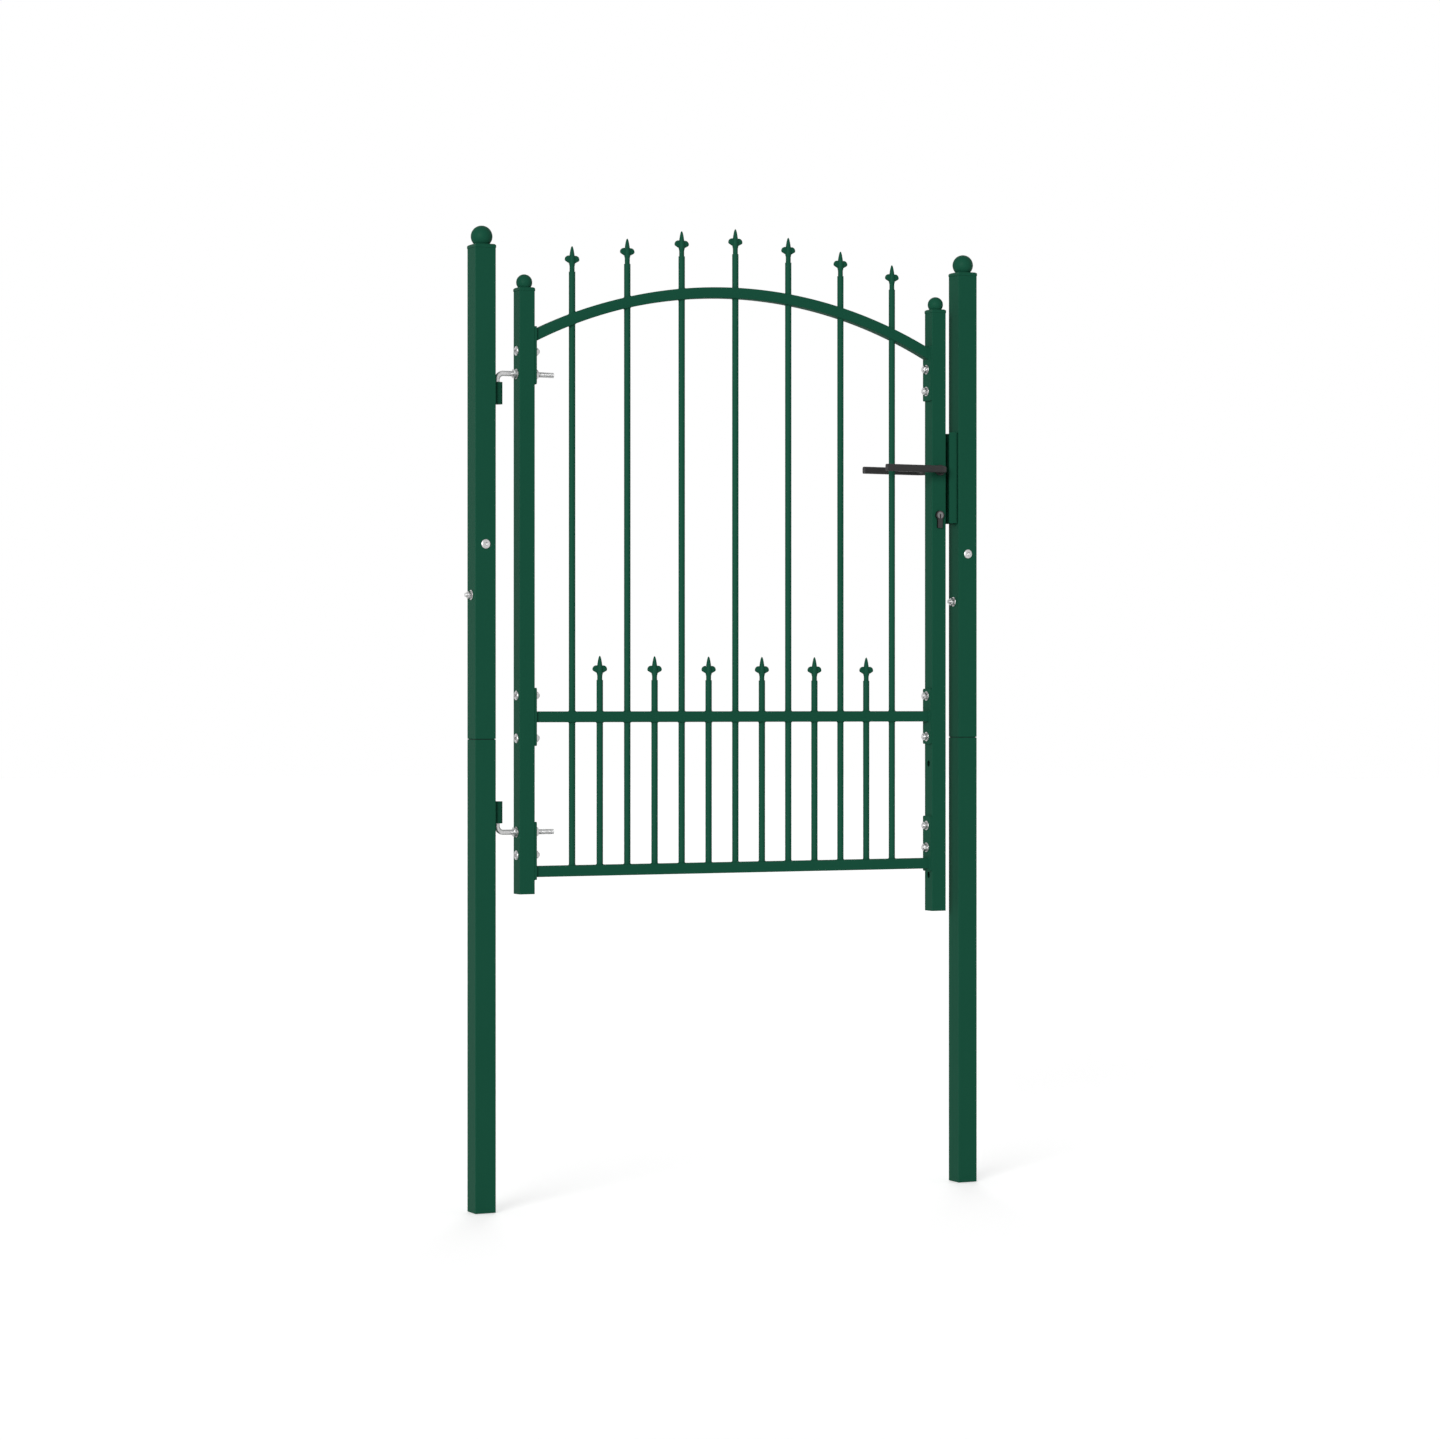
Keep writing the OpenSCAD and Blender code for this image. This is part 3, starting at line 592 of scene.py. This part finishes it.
# %% Find the bolt heights from the plates
PLATE_NEAR_HOLE = 45.5 * MM
PLATE_FAR_HOLE = 87.5 * MM
MIDDLE_HOLE = 39 * MM
arch_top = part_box("arch_hinge_plate")[1].z
bottom_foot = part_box("bottom_hinge_plate")[0].z
middle_rail_low, middle_rail_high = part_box("middle_rail")
middle_height = (middle_rail_low.z + middle_rail_high.z) / 2
upper_rod_z = arch_top - PLATE_FAR_HOLE
lower_rod_z = bottom_foot + PLATE_FAR_HOLE
plain_bolts = [
    arch_top - PLATE_NEAR_HOLE,
    middle_height + MIDDLE_HOLE,
    middle_height - MIDDLE_HOLE,
    bottom_foot + PLATE_NEAR_HOLE,
]
print("bolt heights:", [round(height, 4) for height in plain_bolts])

# %% Bolt the plates to the stiles
STILE_TAIL = 2 * MM
HINGE_TWIST = 0.4
LATCH_TWIST = 0.7
hinge_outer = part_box("hinge_stile")[0].x
hinge_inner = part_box("arch_hinge_plate")[1].x
latch_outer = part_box("latch_stile")[1].x
latch_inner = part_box("arch_latch_plate")[0].x

hinge_bolts = Piece("hinge_stile_bolts", zinc_plate, "leaf", "zinc")
for index, height in enumerate(plain_bolts):
    head = Vector((hinge_outer, 0, height))
    tail = Vector((hinge_inner, 0, height))
    add_bolt(hinge_bolts, head, tail, "-X", HINGE_TWIST * index, STILE_TAIL)
hinge_bolts.finish_piece()

latch_bolts = Piece("latch_stile_bolts", zinc_plate, "leaf", "zinc")
for index, height in enumerate(plain_bolts + [upper_rod_z, lower_rod_z]):
    head = Vector((latch_outer, 0, height))
    tail = Vector((latch_inner, 0, height))
    add_bolt(latch_bolts, head, tail, "+X", LATCH_TWIST * index, STILE_TAIL)
latch_bolts.finish_piece()

# %% [markdown]
# ## Hinge rods
# A hinge rod is a steel bar bent to a right angle. Its upright leg turns in the barrel on
# the post and ends just inside it, and its level leg is threaded, so that two nuts on the
# stile set the gap. A circle extruded along the leg is spun a quarter turn for the bend,
# which keeps the bar round through it; the thread is a helix.

# %% Bend the hinge rods
ROD_RADIUS = 5 * MM
ROD_BEND = 12 * MM
ROD_PLAIN = 14 * MM
ROD_SEGMENTS = 24
LEG_SHORT = 5 * MM
BEND_STEPS = 12


def pick(geom, kind):
    """The points or the faces among what an operator gives back."""
    return [item for item in geom if isinstance(item, kind)]


def draw_out(bm, faces, step):
    """Extrude faces by a step and give back the faces at the far end."""
    grown = bmesh.ops.extrude_face_region(bm, geom=faces)["geom"]
    bmesh.ops.translate(bm, verts=pick(grown, BMVert), vec=step)
    return pick(grown, BMFace)


def open_up(bm, faces):
    """Take out faces that now lie inside a bar."""
    bmesh.ops.delete(bm, geom=[face for face in faces if face.is_valid], context="FACES")


def make_rod(node, height, up):
    """The plain leg and bend of a hinge rod, with the start and length of its thread."""
    low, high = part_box(node)
    axis_x = low.x + ROD_RADIUS
    leg_end = high.z - LEG_SHORT if up > 0 else low.z + LEG_SHORT
    bend_z = height + up * ROD_BEND
    hub = (axis_x + ROD_BEND, 0, bend_z)
    bm = bmesh.new()
    start = Matrix.Translation((axis_x, 0, leg_end))
    bmesh.ops.create_circle(bm, cap_ends=True, radius=ROD_RADIUS, segments=ROD_SEGMENTS, matrix=start)
    tip = draw_out(bm, bm.faces[:], (0, 0, bend_z - leg_end))
    bent = bmesh.ops.spin(bm, geom=tip, cent=hub, axis=(0, up, 0), angle=math.radians(-90),
                          steps=BEND_STEPS)
    open_up(bm, tip)
    end = pick(bent["geom_last"], BMFace)
    draw_out(bm, end, (ROD_PLAIN, 0, 0))
    open_up(bm, end)
    bmesh.ops.remove_doubles(bm, verts=bm.verts, dist=MERGE_WITHIN)
    bmesh.ops.recalc_face_normals(bm, faces=bm.faces)
    thread_x = axis_x + ROD_BEND + ROD_PLAIN
    return bm, thread_x, high.x - thread_x


# %% Thread and lock the hinge rods
ROD_PITCH = 1.5 * MM
ROD_NUT_FLATS = 16 * MM
ROD_NUT_HEIGHT = 6 * MM
ROD_NUT_TWIST = 0.35
ROD_WASHER_RADIUS = 9.4 * MM
ROD_WASHER_HEIGHT = 1.5 * MM

for name, height, up in (("upper", upper_rod_z, -1), ("lower", lower_rod_z, 1)):
    node = name + "_hinge_bolt"
    rod = Piece(name + "_hinge_rod", zinc_plate, "leaf", "zinc")
    bent, thread_x, thread_length = make_rod(node, height, up)
    rod.add(bent, (0, 0, 0))
    thread = make_thread(ROD_RADIUS, ROD_PITCH, thread_length)
    rod.add(thread, (thread_x, 0, height), "+X", finish=rolled_zinc_painted_light)
    for face_x, facing in ((hinge_outer, "-X"), (hinge_inner, "+X")):
        away = FACING[facing] @ Vector((0, 0, 1))
        seat = Vector((face_x, 0, height))
        rod.add(make_washer(ROD_WASHER_RADIUS, ROD_WASHER_HEIGHT, ROD_RADIUS), seat, facing)
        nut_seat = seat + away * ROD_WASHER_HEIGHT
        rod.add(make_nut(ROD_NUT_FLATS, ROD_NUT_HEIGHT, ROD_RADIUS), nut_seat, facing, ROD_NUT_TWIST)
    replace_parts(rod.finish_piece(), node)

# %% [markdown]
# ## The arch
# The arched rail is a square tube rolled to one radius. A straight bar could be bent by a
# modifier, but that stretches its section. Here a square with round corners, standing at
# one end of the arc, is spun to the other end in many small steps, so that the curve stays
# smooth, and both ends are cut upright where they meet the plates.

# %% Roll the arched rail
ARCH_RADIUS = 0.912
ARCH_STEPS = 120
ARCH_SPARE = 3
RAIL_CORNER = 1.5 * MM
CORNER_STEPS = 4
SQUARE = 4
arch_low, arch_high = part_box("arch_rail")
arch_middle = (arch_low.x + arch_high.x) / 2
rail_half = (middle_rail_high.z - middle_rail_low.z) / 2
arch_centre = Vector((arch_middle, 0, arch_high.z - rail_half - ARCH_RADIUS))
arch_half_angle = math.asin((arch_high.x - arch_low.x) / 2 / ARCH_RADIUS)


def round_off(bm, geom, offset, steps, affect):
    """Round corners or edges in that many steps."""
    bmesh.ops.bevel(bm, geom=geom, offset=offset, segments=steps, profile=0.5, affect=affect,
                    material=-1)


def make_arch():
    """The rolled tube: its section spun a little past both plates and cut off there."""
    bm = bmesh.new()
    reach = arch_half_angle + math.radians(ARCH_SPARE)
    at_top = Matrix.Translation((0, 0, ARCH_RADIUS)) @ FACING["+X"]
    flat_up = at_top @ Matrix.Rotation(math.radians(45), 4, "Z")
    at_start = Matrix.Translation(arch_centre) @ Matrix.Rotation(-reach, 4, "Y") @ flat_up
    diagonal = rail_half * math.sqrt(2)
    outline = bmesh.ops.create_circle(bm, cap_ends=False, radius=diagonal, segments=SQUARE,
                                      matrix=at_start)
    round_off(bm, outline["verts"], RAIL_CORNER, CORNER_STEPS, "VERTICES")
    section = bm.verts[:] + bm.edges[:]
    bmesh.ops.spin(bm, geom=section, cent=arch_centre, axis=(0, 1, 0), angle=2 * reach,
                   steps=ARCH_STEPS)
    cut_ends(bm, [((arch_low.x, 0, 0), (-1, 0, 0)), ((arch_high.x, 0, 0), (1, 0, 0))])
    return bm


arch = Piece("rolled_arch", powder_coat, "leaf", "green_coat")
arch.add(make_arch(), (0, 0, 0))
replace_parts(arch.finish_piece(), "arch_rail")

# %% [markdown]
# ## Spears
# Each bar ends in a forged spear: a flared neck, two lobes that droop at their tips, and a
# leaf-shaped point. The round stem is turned from half an outline. The lobes are one plate
# of six corners: two are rounded widely, two tightly, and its rims are hammered soft.
# Sculpting would make each one different, while a forge makes them all alike.

# %% Turn the stem of a spear
SPEAR_NECK = 4.7 * MM
SPEAR_BODY = 5.75 * MM
SPEAR_POINT = 4.8 * MM
FLARE_HEIGHT = 6 * MM
FLARE_STEPS = 6
LOBE_HEIGHT = 14 * MM
POINT_HEIGHT = 17.8 * MM
POINT_STEPS = 14
SHOULDER_ROUND = 6 * MM


def make_stem(height):
    """The turned part of a spear: neck, flare, body and a point with bellied sides."""
    bm = bmesh.new()
    lobe_top = height - POINT_HEIGHT
    flare_foot = lobe_top - LOBE_HEIGHT - FLARE_HEIGHT
    outline = [(0, 0), (SPEAR_NECK, 0)]
    for step in range(FLARE_STEPS + 1):
        share = step / FLARE_STEPS
        swell = (1 - math.cos(math.pi * share)) / 2
        radius = SPEAR_NECK + (SPEAR_BODY - SPEAR_NECK) * swell
        outline.append((radius, flare_foot + FLARE_HEIGHT * share))
    outline.append((SPEAR_BODY, lobe_top - SHOULDER_ROUND))
    for step in range(POINT_STEPS + 1):
        share = step / POINT_STEPS
        outline.append((SPEAR_POINT * math.sqrt(1 - share), lobe_top + POINT_HEIGHT * share))
    turn(bm, outline)
    return bm


# %% Forge the lobes of a spear
LOBE_THICKNESS = 6 * MM
LOBE_TIP = (14.5 * MM, -9.2 * MM)
LOBE_SHOULDER = 13.2 * MM
TIP_ROUND = 2.4 * MM
LOBE_STEPS = 8
RIM_ROUND = 2 * MM
RIM_STEPS = 5


def make_lobes():
    """Both lobes of a spear as one soft-rimmed plate, with their tops on Z = 0."""
    bm = bmesh.new()
    half = [(LOBE_SHOULDER, 0), LOBE_TIP, (SPEAR_BODY, -LOBE_HEIGHT)]
    whole = half + [(-x, z) for x, z in reversed(half)]
    corners = [bm.verts.new((x, -LOBE_THICKNESS / 2, z)) for x, z in whole]
    bm.faces.new(corners)
    tips = [corners[1], corners[4]]
    shoulders = [corners[0], corners[5]]
    round_off(bm, tips, TIP_ROUND, LOBE_STEPS, "VERTICES")
    round_off(bm, shoulders, SHOULDER_ROUND, LOBE_STEPS, "VERTICES")
    draw_out(bm, bm.faces[:], (0, LOBE_THICKNESS, 0))
    rims = [edge for edge in bm.edges if edge.verts[0].co.y == edge.verts[1].co.y]
    round_off(bm, rims, RIM_ROUND, RIM_STEPS, "EDGES")
    bmesh.ops.recalc_face_normals(bm, faces=bm.faces)
    return bm


# %% Set a spear on every bar
TALL_COUNT = 7
TIP_DROPS = (0, 10 * MM, 30 * MM, 50 * MM)
SPEAR_SMOOTH_BELOW = 40
bar_low, bar_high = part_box("short_bars")
tall_low, tall_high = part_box("tall_bars")
bar_width = bar_high.y - bar_low.y
spacing = (tall_high.x - tall_low.x - bar_width) / (TALL_COUNT - 1)
tall_places = [tall_low.x + bar_width / 2 + spacing * index for index in range(TALL_COUNT)]
short_places = [bar_low.x + bar_width / 2 + spacing * index for index in range(TALL_COUNT - 1)]


def add_spear(piece, x, tip, height):
    """One spear of a given height, with its tip at a height above ground."""
    piece.add(make_stem(height), (x, 0, tip - height))
    piece.add(make_lobes(), (x, 0, tip - POINT_HEIGHT))


tall_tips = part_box("tall_spears")
tall_height = tall_tips[1].z - tall_tips[0].z - TIP_DROPS[-1]
tall_spears = Piece("forged_tall_spears", powder_coat, "leaf", "green_coat")
for index, x in enumerate(tall_places):
    drop = TIP_DROPS[abs(index - TALL_COUNT // 2)]
    add_spear(tall_spears, x, tall_tips[1].z - drop, tall_height)
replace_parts(tall_spears.finish_piece(SPEAR_SMOOTH_BELOW), "tall_spears")

short_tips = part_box("short_spears")
short_height = short_tips[1].z - short_tips[0].z
short_spears = Piece("forged_short_spears", powder_coat, "leaf", "green_coat")
for x in short_places:
    add_spear(short_spears, x, short_tips[1].z, short_height)
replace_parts(short_spears.finish_piece(SPEAR_SMOOTH_BELOW), "short_spears")

# %% [markdown]
# ## Weld beads
# The welder runs a small bead wherever two pieces meet, and the coat goes over it. A bump
# would only shade the corner, so each bead is a ring of its own: a few loops round the
# joint, each a little wider and lower than the last, bridged into a closed ring that goes
# down the one piece, out along the other and back into the corner.

# %% Make a bead round a bar or round a square end
BEAD_LEG = 1.4 * MM
BEAD_SECTION = ((-0.12, 1.0), (0.35, 0.86), (0.75, 0.58), (1.0, -0.1), (-0.12, -0.1))


def make_bead(size, segments, side=1, lean=None, drift=0.0):
    """A bead round a square or round outline of a given size on Z = 0."""
    bm = bmesh.new()
    is_square = segments == SQUARE
    radius = math.sqrt(0.5) if is_square else 0.5
    start = Matrix.Rotation(math.radians(45), 4, "Z") if is_square else Matrix.Identity(4)
    rings = []
    for out, up in BEAD_SECTION:
        height = up * BEAD_LEG
        grow = 2 * out * BEAD_LEG
        scale = Matrix.Diagonal((size[0] + grow, size[1] + grow, 1, 1))
        place = Matrix.Translation((drift * height, 0, side * height)) @ (lean or Matrix.Identity(4))
        before = set(bm.edges)
        bmesh.ops.create_circle(bm, radius=radius, segments=segments, matrix=place @ scale @ start)
        rings.append([edge for edge in bm.edges if edge not in before])
    for first, second in zip(rings, rings[1:] + rings[:1]):
        bmesh.ops.bridge_loops(bm, edges=first + second)
    bmesh.ops.recalc_face_normals(bm, faces=bm.faces)
    return bm


def lean_along_x(tilt):
    """Tip a level loop so that it lies on a face that falls towards +X by an angle."""
    lean = Matrix.Identity(4)
    lean[2][0] = -math.tan(tilt)
    return lean


# %% Bead every bar where it meets a rail
BAR_SEGMENTS = 24
BEAD_SMOOTH_BELOW = 60
bottom_rail_low, bottom_rail_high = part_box("bottom_rail")
round_bar = (bar_width, bar_width)

bar_beads = Piece("bar_welds", powder_coat, "leaf", "green_coat")
for x in tall_places + short_places:
    bar_beads.add(make_bead(round_bar, BAR_SEGMENTS), (x, 0, bottom_rail_high.z))
    bar_beads.add(make_bead(round_bar, BAR_SEGMENTS), (x, 0, middle_rail_high.z))
    bar_beads.add(make_bead(round_bar, BAR_SEGMENTS, side=-1), (x, 0, middle_rail_low.z))
for x in tall_places:
    offset = x - arch_middle
    for edge_radius, side in ((ARCH_RADIUS + rail_half, 1), (ARCH_RADIUS - rail_half, -1)):
        height = arch_centre.z + math.sqrt(edge_radius ** 2 - offset ** 2)
        lean = lean_along_x(math.asin(offset / edge_radius))
        bar_beads.add(make_bead(round_bar, BAR_SEGMENTS, side, lean), (x, 0, height))
bar_beads.finish_piece(BEAD_SMOOTH_BELOW)

# %% Bead the rails to their plates
rail_beads = Piece("rail_welds", powder_coat, "leaf", "green_coat")
rail_width = 2 * rail_half
bottom_middle = (bottom_rail_low.z + bottom_rail_high.z) / 2
arch_end = arch_centre.z + ARCH_RADIUS * math.cos(arch_half_angle)
arch_size = (rail_width / math.cos(arch_half_angle), rail_width)
slant = math.tan(arch_half_angle)
for facing, face_x, fall in (("+X", hinge_inner, -1), ("-X", latch_inner, 1)):
    for height in (middle_height, bottom_middle):
        rail_beads.add(make_bead((rail_width, rail_width), SQUARE), (face_x, 0, height), facing)
    rail_beads.add(make_bead(arch_size, SQUARE, drift=fall * slant), (face_x, 0, arch_end), facing)
rail_beads.finish_piece(BEAD_SMOOTH_BELOW)

# %% Bead the hinge barrels to the post
BARREL_SEAT = 12 * MM
barrel_beads = Piece("barrel_welds", powder_coat, "posts", "green_coat")
for barrel in ("upper_hinge_barrel", "lower_hinge_barrel"):
    low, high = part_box(barrel)
    place = (low.x, 0, (low.z + high.z) / 2)
    length = high.z - low.z - 2 * BEAD_LEG
    barrel_beads.add(make_bead((length, BARREL_SEAT), SQUARE), place, "+X")
barrel_beads.finish_piece(BEAD_SMOOTH_BELOW)

# %% [markdown]
# ## Keeper and lock
# The bent keeper is welded to the post along its upper and lower edge, with the same bead
# drawn out into a strip. The lock's face plate is held in the stile by two screws, one
# above and one below the bolts. Only the low domes of their heads show, so they are made
# as the bolt heads are, at their own size.

# %% Weld the keeper
KEEPER_BEAD_LENGTH = 24 * MM
KEEPER_BEAD_WIDTH = 2 * MM
KEEPER_BEAD_GAP = 0.5 * MM
keeper_low, keeper_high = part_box("latch_keeper")
keeper_strip = (KEEPER_BEAD_WIDTH, KEEPER_BEAD_LENGTH)
keeper_beads = Piece("keeper_welds", powder_coat, "posts", "green_coat")
for height in (keeper_low.z - KEEPER_BEAD_GAP, keeper_high.z + KEEPER_BEAD_GAP):
    keeper_beads.add(make_bead(keeper_strip, SQUARE), (keeper_high.x, 0, height), "-X")
keeper_beads.finish_piece(BEAD_SMOOTH_BELOW)

# %% Screw in the lock
SCREW_RADIUS = 3.8 * MM
SCREW_HEIGHT = 0.8 * MM
SCREW_SOCKET = 3 * MM
SCREW_DEPTH = 0.7 * MM
SCREW_NECK = 2 * MM
SCREW_TWIST = 0.5
SCREW_MARGIN = 10 * MM
plate_low, plate_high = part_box("lock_face_plate")
lock_screws = Piece("lock_screws", zinc_plate, "leaf", "zinc")
for height in (plate_low.z + SCREW_MARGIN, plate_high.z - SCREW_MARGIN):
    screw = make_dome_head(SCREW_RADIUS, SCREW_HEIGHT, SCREW_SOCKET, SCREW_DEPTH, SCREW_NECK)
    lock_screws.add(screw, (plate_high.x, 0, height), "+X", SCREW_TWIST)
lock_screws.finish_piece()

# %% [markdown]
# ## Light and floor
# In the picture the left faces are as bright as the fronts, even in the narrow gaps beside
# the stiles, so its main light comes from the left at about half a right angle. A far,
# broad lamp does the same over the whole gate, and a second one behind the gate lights
# what the picture doesn't show. The world is white to the camera and in reflections, and a
# softer white as a light. The pale floor keeps the shadows.

# %% Light the gate
WORLD_LIGHT = 0.36
KEY_TURN = 45
KEY_STRENGTH = 2.85
FILL_STRENGTH = 2.0
LAMP_RISE = 10
LAMP_SPREAD = 26
world = bpy.data.worlds.new("white_studio")
bpy.context.scene.world = world
sky = Shading(world, "Background", Color=grey(1))
sky.drive(Strength=WORLD_LIGHT + (1 - WORLD_LIGHT) * sky.in_view())


def wide_lamp(name, bearing, strength, mirrored):
    """A far, broad lamp, turned from the gate's front, which shows in reflections or not."""
    lamp = bpy.data.lights.new(name, "SUN")
    lamp.energy = strength
    lamp.angle = math.radians(LAMP_SPREAD)
    holder = bpy.data.objects.new(name, lamp)
    holder.rotation_euler = (math.radians(90 - LAMP_RISE), 0, math.radians(-bearing))
    holder.visible_glossy = mirrored
    bpy.context.scene.collection.objects.link(holder)


wide_lamp("left_key", KEY_TURN, KEY_STRENGTH, True)
wide_lamp("back_fill", VIEW_TURN + 180, FILL_STRENGTH, False)
print("lamps:", [lamp.name for lamp in bpy.data.lights])

# %% Lay the pale floor
FLOOR_RADIUS = 40.0
FLOOR_SEGMENTS = 64
FLOOR_DROP = 1 * MM
FLOOR_TONE = 0.93
FLOOR_LIFT = 0.44
floor_bm = bmesh.new()
bmesh.ops.create_circle(floor_bm, cap_ends=True, radius=FLOOR_RADIUS, segments=FLOOR_SEGMENTS)
floor_mesh = bpy.data.meshes.new("studio_floor")
floor_bm.to_mesh(floor_mesh)
floor_bm.free()
floor_paint = Finish("pale_floor", Roughness=0.9, Specular_IOR_Level=0.1, Emission_Strength=1.0)
floor_paint.drive(Base_Color=grey(FLOOR_TONE))
glow = floor_paint.mix(floor_paint.in_view(), grey(0), grey(FLOOR_LIFT))
floor_paint.drive(Emission_Color=glow)
floor_mesh.materials.append(floor_paint.material)
floor = bpy.data.objects.new("studio_floor", floor_mesh)
floor.location.z = -FLOOR_DROP
bpy.context.scene.collection.objects.link(floor)
print("floor:", 2 * FLOOR_RADIUS, "m across")
